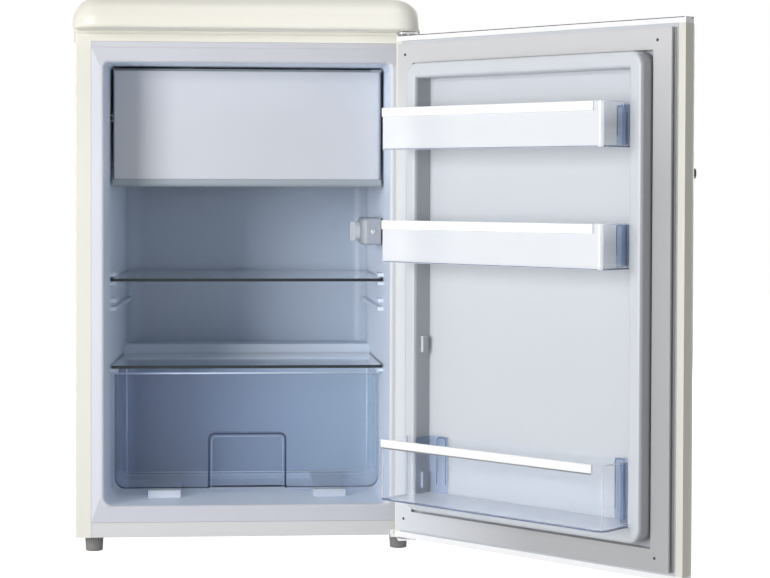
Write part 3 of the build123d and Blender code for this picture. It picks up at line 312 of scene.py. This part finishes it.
def upright_face(face):
    """True for a face that stands on edge, such as the edge of a glass pane."""
    return abs(face.normal.z) < 0.5


unswing = door_swing.inverted()
tray_front = front + 0.088
tray_wall = 0.0025
flange_depth = 0.006
opening_z = (0.0765, 0.7875)
rail_x = (0.109, 0.164)
rail_z = (0.0768, 0.0875)
tray_floor_top = 0.111
foot_axis = (0.247, front + 0.03)
foot_radii = (0.0138, 0.015)
foot_height = 0.025
groove_depth = 0.00035


def tray_front_face(face):
    """True for the front wall of a door balcony."""
    return (unswing @ face.center).y > tray_front - tray_wall * 1.2 and abs(face.normal.z) < 0.5


def inside_face(face):
    """True for the walls of the liner behind its front flange."""
    return face.center.y > front + flange_depth


def level_flange_face(face):
    """True for the flange of the liner above and below the opening."""
    return not inside_face(face) and not opening_z[0] < face.center.z < opening_z[1]


def dyke_side_face(face):
    """True for the walls of the door's inner ridge that face its free edge."""
    return (unswing.to_3x3() @ face.normal).x < -0.5


def side_wall_face(face):
    """True for the side walls and the floor of the drawer."""
    return abs(face.normal.y) < 0.5


def foot_groove_face(face):
    """True for the grooves round a front foot, which widens towards its top."""
    reach = math.hypot(abs(face.center.x) - foot_axis[0], face.center.y - foot_axis[1])
    outer = foot_radii[0] + (foot_radii[1] - foot_radii[0]) * face.center.z / foot_height
    return abs(face.normal.z) < 0.5 and reach < outer - groove_depth and face.center.z < 0.98 * foot_height


def rail_pad_face(face):
    """True for the drawer's rails on the floor of the liner."""
    return rail_x[0] < abs(face.center.x) < rail_x[1] and rail_z[0] < face.center.z < rail_z[1]


def tray_floor_face(face):
    """True for the inside of the lowest balcony's floor."""
    return face.normal.z > 0.5 and face.center.z < tray_floor_top


# Painted shade in the grooves round the front feet
for name in ("front_foot_left", "front_foot_right"):
    part_faces(nodes[name], foot_groove, foot_groove_face)
part_faces(nodes["inner_liner"], liner_inside, inside_face)
# Painted shade on the flange above and below the opening
part_faces(nodes["inner_liner"], flange_painted_shade, level_flange_face)
part_faces(nodes["inner_liner"], rail_pad, rail_pad_face)
part_faces(nodes["balcony_bottom"], tray_floor, tray_floor_face)
part_faces(nodes["door_liner"], dyke_shade, dyke_side_face)
part_faces(nodes["crisper_drawer"], finishes["clear_plastic"], side_wall_face)
part_faces(nodes["balcony_bottom"], balcony_plastic, tray_front_face)
# The upright edges of the glass shelf and cover get the painted dark edge finish
for name in ("glass_shelf", "crisper_cover"):
    part_faces(nodes[name], pane_edge, upright_face)
for name in ("balcony_top", "balcony_middle"):
    part_faces(nodes[name], milky, tray_front_face)


# Added pieces
def add_piece(name, points, faces, finish, body, shut=False):
    """A smooth mesh that moves with a body; pieces of the door are drawn with the door shut."""
    mesh = bpy.data.meshes.new(name)
    mesh.from_pydata([tuple(p) for p in points], [], faces)
    mesh.validate()
    shaped = bmesh.new()
    shaped.from_mesh(mesh)
    bmesh.ops.recalc_face_normals(shaped, faces=shaped.faces)
    shaped.to_mesh(mesh)
    shaped.free()
    if shut:
        mesh.transform(door_swing)
    for face in mesh.polygons:
        face.use_smooth = True
    mesh.materials.append(finish)
    piece = bpy.data.objects.new(name, mesh)
    bpy.context.scene.collection.objects.link(piece)
    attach(piece, body)
    return piece


def skin(rings):
    """Points and faces of a skin through rings of equal length, with both ends closed over."""
    count = len(rings[0])
    points = [p for ring in rings for p in ring]
    faces = []
    for row in range(len(rings) - 1):
        for i in range(count):
            j = (i + 1) % count
            faces.append((row * count + i, row * count + j, (row + 1) * count + j, (row + 1) * count + i))
    faces.append(tuple(range(count)))
    faces.append(tuple(range(len(points) - count, len(points))))
    return points, faces


def arc(middle, radius, start, stop, steps):
    """Points on an arc, by angles in degrees."""
    turns = [math.radians(start + (stop - start) * i / steps) for i in range(steps + 1)]
    return [(middle[0] + radius * math.cos(t), middle[1] + radius * math.sin(t)) for t in turns]


def bar(route, radius, sides=12):
    """Points and faces of a round bar along a route."""
    route = [Vector(p) for p in route]
    rings = []
    for i, place in enumerate(route):
        ahead = (route[min(i + 1, len(route) - 1)] - route[max(i - 1, 0)]).normalized()
        helper = Vector((0, 1, 0)) if abs(ahead.y) < 0.9 else Vector((1, 0, 0))
        across = ahead.cross(helper).normalized()
        over = ahead.cross(across)
        turns = [2 * math.pi * k / sides for k in range(sides)]
        rings.append([place + radius * (math.cos(t) * across + math.sin(t) * over) for t in turns])
    return skin(rings)


def prism(outline, low, high):
    """Points and faces of an upright prism on a plan outline."""
    return skin([[(x, y, low) for x, y in outline], [(x, y, high) for x, y in outline]])


def add_bevel(piece, width):
    """Rounds the edges of an added piece a little."""
    bevel = piece.modifiers.new("edge", "BEVEL")
    bevel.width = width
    bevel.segments = 3
    bevel.limit_method = "ANGLE"
    for face in piece.data.polygons:
        face.use_smooth = False


# Drawer: the dark outline of its finger recess, with a paler line inside it
drawer_low, drawer_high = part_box("crisper_drawer")
grip_half = 0.0635
grip_top = drawer_low.z + 0.0915
grip_corner = 0.009
edge_y = drawer_low.y + 0.0002
edge_foot = drawer_low.z + 0.002
inner = grip_half - grip_corner
left_arc = arc((-inner, grip_top - grip_corner), grip_corner, 180, 90, 8)
right_arc = arc((inner, grip_top - grip_corner), grip_corner, 90, 0, 8)
outline = [(-grip_half, edge_foot), *left_arc, *right_arc, (grip_half, edge_foot)]
grip_route = [(x, edge_y, z) for x, z in outline]
inner_share = 0.925
inner_drop = 0.0045
inner_route = [(x * inner_share, edge_y, z - inner_drop) for x, z in outline[1:-1]]
inner_feet = [(end * grip_half * inner_share, edge_y, edge_foot) for end in (-1, 1)]
inner_route = [inner_feet[0], *inner_route, inner_feet[1]]
add_piece("drawer_grip_inner", *bar(inner_route, 0.0006, 8), grip_line, "drawer")
add_piece("drawer_grip_edge", *bar(grip_route, 0.0014), navy_edge, "drawer")

# Drawer: a pale bead round its rim and pale ribs in its back corners, drawn in the painted highlight colour
# for the light along its edges
rim_bead = 0.0013
rim_z = drawer_high.z - rim_bead
rim_corners = (
    (drawer_low.x + rim_bead, drawer_low.y + rim_bead),
    (drawer_high.x - rim_bead, drawer_low.y + rim_bead),
    (drawer_high.x - rim_bead, drawer_high.y - rim_bead),
    (drawer_low.x + rim_bead, drawer_high.y - rim_bead),
)
for i, (start, stop) in enumerate(zip(rim_corners, rim_corners[1:] + rim_corners[:1])):
    route = [(*start, rim_z), (*stop, rim_z)]
    add_piece(f"drawer_rim_bead_{i + 1}", *bar(route, rim_bead), highlight_line, "drawer")
rib_x = 0.209
rib_y = drawer_high.y - 0.0045
for side, end in ((-1, "left"), (1, "right")):
    route = [(side * rib_x, rib_y, drawer_low.z + 0.006), (side * rib_x, rib_y, rim_z)]
    add_piece(f"drawer_rib_{end}", *bar(route, 0.0016), highlight_line, "drawer")
route = [(-rib_x, rib_y, drawer_low.z + 0.005), (rib_x, rib_y, drawer_low.z + 0.005)]
add_piece("drawer_rib_low", *bar(route, 0.001), highlight_line, "drawer")

# Door balconies: stiff bluish corners that carry the tray on its lugs, with hooks and edge lines; the dark
# hook and edge lines are painted shade for the dark look of the clear plastic's edges, and the pale top and
# corner lines are painted highlight
slot_half = 0.196
tray_back = front - 0.0102
post_thick = 0.003
post_depth = 0.036
post_return = 0.036
hook_legs = (0.0165, 0.0345)
hook_corner = 0.005
hook_line = 0.0007
hook_foot = 0.018
line_radius = 0.0011
line_inset = 0.0009
edge_line = 0.0006
rim_drop = 0.0008
tray_ends = (-0.208, 0.213)
free_round = 0.0121
hinge_round = 0.0034
corner_step = 0.0036
for level in ("top", "middle", "bottom"):
    tray_low, tray_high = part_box(f"balcony_{level}")
    tray_name = f"balcony_{level}_tray"
    for side, end in ((-1, "free"), (1, "hinge")):
        plan = [
            (side * slot_half, tray_back),
            (side * slot_half, tray_back + post_depth),
            (side * (slot_half - post_thick), tray_back + post_depth),
            (side * (slot_half - post_thick), tray_back + post_thick),
            (side * (slot_half - post_return), tray_back + post_thick),
            (side * (slot_half - post_return), tray_back),
        ]
        solid = prism(plan, tray_low.z + 0.0035, tray_high.z - 0.002)
        post = add_piece(f"balcony_{level}_post_{end}", *solid, hook_plastic, tray_name, shut=True)
        add_bevel(post, 0.0006)
        near_x, far_x = (slot_half - leg for leg in hook_legs)
        hook_top = tray_high.z - 0.0035
        outer_arc = arc((near_x - hook_corner, hook_top - hook_corner), hook_corner, 0, 90, 6)
        inner_arc = arc((far_x + hook_corner, hook_top - hook_corner), hook_corner, 90, 180, 6)
        hook_z = tray_low.z + hook_foot
        hook_plan = [(near_x, hook_z), *outer_arc, *inner_arc, (far_x, hook_z)]
        hook_route = [(side * x, tray_back + post_thick + 0.0004, z) for x, z in hook_plan]
        hook_name = f"balcony_{level}_hook_{end}"
        # The hook is outlined in the painted dark edge line
        add_piece(hook_name, *bar(hook_route, hook_line, 8), tray_line, tray_name, shut=True)
    free_x, hinge_end_x = tray_ends[0] + line_inset, tray_ends[1] - line_inset
    end_y, front_y = front + 0.027, tray_front - line_inset
    line_z = tray_low.z + line_radius
    free_corner = arc((free_x + free_round, front_y - free_round), free_round, 180, 90, 6)
    hinge_corner = arc((hinge_end_x - hinge_round, front_y - hinge_round), hinge_round, 90, 0, 4)
    low_plan = [(free_x, end_y), *free_corner, *hinge_corner, (hinge_end_x, end_y)]
    low_route = [(x, y, line_z) for x, y in low_plan]
    # Painted shade: dark lines along the bottom and up the hinge end of the tray
    add_piece(f"balcony_{level}_low_line", *bar(low_route, line_radius, 8), tray_line, tray_name, shut=True)
    upright_line = [(hinge_end_x, end_y, line_z), (hinge_end_x, end_y, tray_high.z - edge_line)]
    add_piece(f"balcony_{level}_end_line", *bar(upright_line, edge_line, 8), tray_line, tray_name, shut=True)
    # Painted highlight: a pale line along the top of the free end and round its corner
    top_line = [(x, y, tray_high.z - rim_drop) for x, y in ((free_x, end_y), *free_corner[:4])]
    add_piece(f"balcony_{level}_top_line", *bar(top_line, edge_line, 8), highlight_line, tray_name, shut=True)
    # Painted highlight: a pale upright line at the front corner of the free end
    corner_x, corner_y = free_x + corner_step, front_y - corner_step
    corner_line = [(corner_x, corner_y, line_z), (corner_x, corner_y, tray_high.z - rim_drop)]
    add_piece(f"balcony_{level}_corner_line", *bar(corner_line, edge_line, 8), highlight_line, tray_name, shut=True)

# Lowest balcony: a dark line under its trim, painted shadow drawn as a thin bar
trim_points = [unswing @ vertex.co for vertex in nodes["balcony_trim_bottom"].data.vertices]
shadow_radius = 0.0011
shadow_y = max(p.y for p in trim_points) - shadow_radius
shadow_z = min(p.z for p in trim_points) - 0.8 * shadow_radius
shadow_ends = (min(p.x for p in trim_points) + 0.002, max(p.x for p in trim_points) - 0.002)
shadow_route = [(x, shadow_y, shadow_z) for x in shadow_ends]
shadow_bar = bar(shadow_route, shadow_radius, 8)
add_piece("balcony_bottom_trim_lip", *shadow_bar, trim_shadow, "balcony_bottom_tray", shut=True)

# Door handle: dark end caps on the bar
bar_ends = (-0.234, -0.066)
bar_middle = (front - 0.0979, 0.6107)
cap_half = (0.0066, 0.0076)
cap_round = 0.0056
cap_length = 0.009
cap_centre = (cap_half[0] - cap_round, cap_half[1] - cap_round)
cap_outline = [
    (bar_middle[0] + sy * cap_centre[0] + dy, bar_middle[1] + sz * cap_centre[1] + dz)
    for sy, sz, start in ((1, 1, 0), (-1, 1, 90), (-1, -1, 180), (1, -1, 270))
    for dy, dz in arc((0, 0), cap_round, start, start + 90, 5)
]


def bar_end_face(face):
    """True for the two ends of the handle's bar."""
    off_end = min(abs((unswing @ face.center).x - x) for x in bar_ends)
    return abs((unswing.to_3x3() @ face.normal).x) > 0.9 and off_end < 0.0005


part_faces(nodes["door_handle"], finishes["black_plastic"], bar_end_face)
for end, x in zip(("free", "hinge"), bar_ends):
    inward = cap_length if end == "free" else -cap_length
    rings = [[(x + step, y, z) for y, z in cap_outline] for step in (inward / 30, inward)]
    cap = add_piece(f"handle_cap_{end}", *skin(rings), finishes["black_plastic"], "door", shut=True)
    add_bevel(cap, 0.0008)

# Door top: the dark joint between the cap and the steel, round the free corner
joint_z = 0.8312
joint_y = front - 0.0137
joint_side = -0.2732
joint_plan = [(0.27, joint_y), (-0.2715, joint_y), (joint_side, front - 0.0155), (joint_side, front - 0.033)]
joint_route = [(x, y, joint_z) for x, y in joint_plan]
add_piece("door_top_joint", *bar(joint_route, 0.0007, 8), dark_mark, "door", shut=True)
corner_route = [(x + 0.001, y, joint_z - 0.001) for x, y in joint_plan[2:]]
add_piece("door_top_corner", *bar(corner_route, 0.0016, 10), dark_mark, "door", shut=True)

# Door seal: small dark marks near its corners, painted shade that stands in for small holes
seal_y = front - 0.0005
mark_radius = 0.0022
mark_steps = (
    (mark_radius, seal_y - 0.001),
    (mark_radius, seal_y + 0.0001),
    (mark_radius * 0.6, seal_y + 0.0002),
)
for i, middle in enumerate(((-0.235, 0.0607), (0.244, 0.0607), (-0.235, 0.7995), (0.244, 0.7995))):
    rings = [[(px, y, pz) for px, pz in arc(middle, r, 0, 337.5, 15)] for r, y in mark_steps]
    add_piece(f"seal_corner_mark_{i + 1}", *skin(rings), dark_mark, "door", shut=True)


# Floor, light and camera
seen_rays = ("Is Camera Ray", "Is Glossy Ray", "Is Transmission Ray")


def floor_material():
    """A white floor that keeps the object's shadow."""
    mat, tree, bsdf = shader("studio_floor")
    bsdf.inputs["Base Color"].default_value = (0.86, 0.86, 0.86, 1)
    bsdf.inputs["Roughness"].default_value = 0.9
    bsdf.inputs["Specular IOR Level"].default_value = 0.0
    path = tree.nodes.new("ShaderNodeLightPath")
    seen = any_of(tree, *(path.outputs[kind] for kind in seen_rays))
    lift = tree.nodes.new("ShaderNodeMath")
    lift.operation = "MULTIPLY"
    lift.inputs[1].default_value = 0.87
    tree.links.new(seen, lift.inputs[0])
    bsdf.inputs["Emission Color"].default_value = (1, 1, 1, 1)
    tree.links.new(lift.outputs[0], bsdf.inputs["Emission Strength"])
    return mat


def add_floor():
    """A large plain floor under the feet."""
    mesh = bpy.data.meshes.new("studio_floor")
    half = 7.0
    corners = [(-half, -half, 0), (half, -half, 0), (half, half, 0), (-half, half, 0)]
    mesh.from_pydata(corners, [], [(0, 1, 2, 3)])
    floor = bpy.data.objects.new("studio_floor", mesh)
    bpy.context.scene.collection.objects.link(floor)
    mesh.materials.append(floor_material())


def add_world():
    """Soft light from all round, with a white background behind the object."""
    world = bpy.data.worlds.new("studio")
    bpy.context.scene.world = world
    world.use_nodes = True
    tree = world.node_tree
    back = tree.nodes["Background"]
    path = tree.nodes.new("ShaderNodeLightPath")
    seen = any_of(tree, *(path.outputs[kind] for kind in seen_rays))
    level = tree.nodes.new("ShaderNodeMapRange")
    level.inputs["To Min"].default_value = 0.2
    level.inputs["To Max"].default_value = 1.0
    tree.links.new(seen, level.inputs["Value"])
    back.inputs["Color"].default_value = (1, 1, 1, 1)
    tree.links.new(level.outputs["Result"], back.inputs["Strength"])


def add_panel_light(name, place, aim, size, power):
    """A large soft lamp that faces a point."""
    lamp = bpy.data.lights.new(name, "AREA")
    lamp.shape = "RECTANGLE"
    lamp.size = size[0]
    lamp.size_y = size[1]
    lamp.energy = power
    holder = bpy.data.objects.new(name, lamp)
    bpy.context.scene.collection.objects.link(holder)
    holder.location = place
    holder.rotation_euler = (Vector(aim) - Vector(place)).to_track_quat("-Z", "Y").to_euler()


def add_camera():
    """The photograph's viewpoint, level with the freezer's sill, with the frame shifted down a little."""
    focal_px = 1906.94
    yaw, pitch, roll = math.radians(4.1455), math.radians(-1.2514), math.radians(0.1841)
    ahead = Vector((math.sin(yaw) * math.cos(pitch), math.cos(yaw) * math.cos(pitch), math.sin(pitch)))
    level = Vector((math.cos(yaw), -math.sin(yaw), 0))
    upward = level.cross(ahead)
    right = level * math.cos(roll) + upward * math.sin(roll)
    top = upward * math.cos(roll) - level * math.sin(roll)
    lens = bpy.data.cameras.new("photo_camera")
    lens.sensor_width = 36
    lens.lens = focal_px * 36 / 770
    lens.shift_y = -0.0769
    lens.clip_end = 50
    view = bpy.data.objects.new("photo_camera", lens)
    bpy.context.scene.collection.objects.link(view)
    turn = Matrix((right, top, -ahead)).transposed().to_4x4()
    view.matrix_world = Matrix.Translation((-0.00131, front - 3.07571, 0.58778)) @ turn
    bpy.context.scene.camera = view


add_floor()
add_world()
add_panel_light("key_left", (-2.15, -2.7, 0.85), (0.0, -0.2, 0.45), (1.3, 1.5), 89)
add_panel_light("front_right", (2.3, -2.7, 0.75), (0.0, -0.1, 0.45), (1.1, 1.2), 6.5)
add_panel_light("overhead", (0.2, -1.0, 3.0), (0.1, -0.2, 0.8), (1.8, 1.2), 15)
add_panel_light("back", (0.1, 3.2, 1.4), (0.0, 0.1, 0.45), (1.8, 1.6), 6)
add_panel_light("right_rear", (2.2, 2.4, 1.0), (0.2, -0.1, 0.45), (1.3, 1.5), 42)
add_camera()
bpy.context.scene.view_settings.view_transform = "Standard"
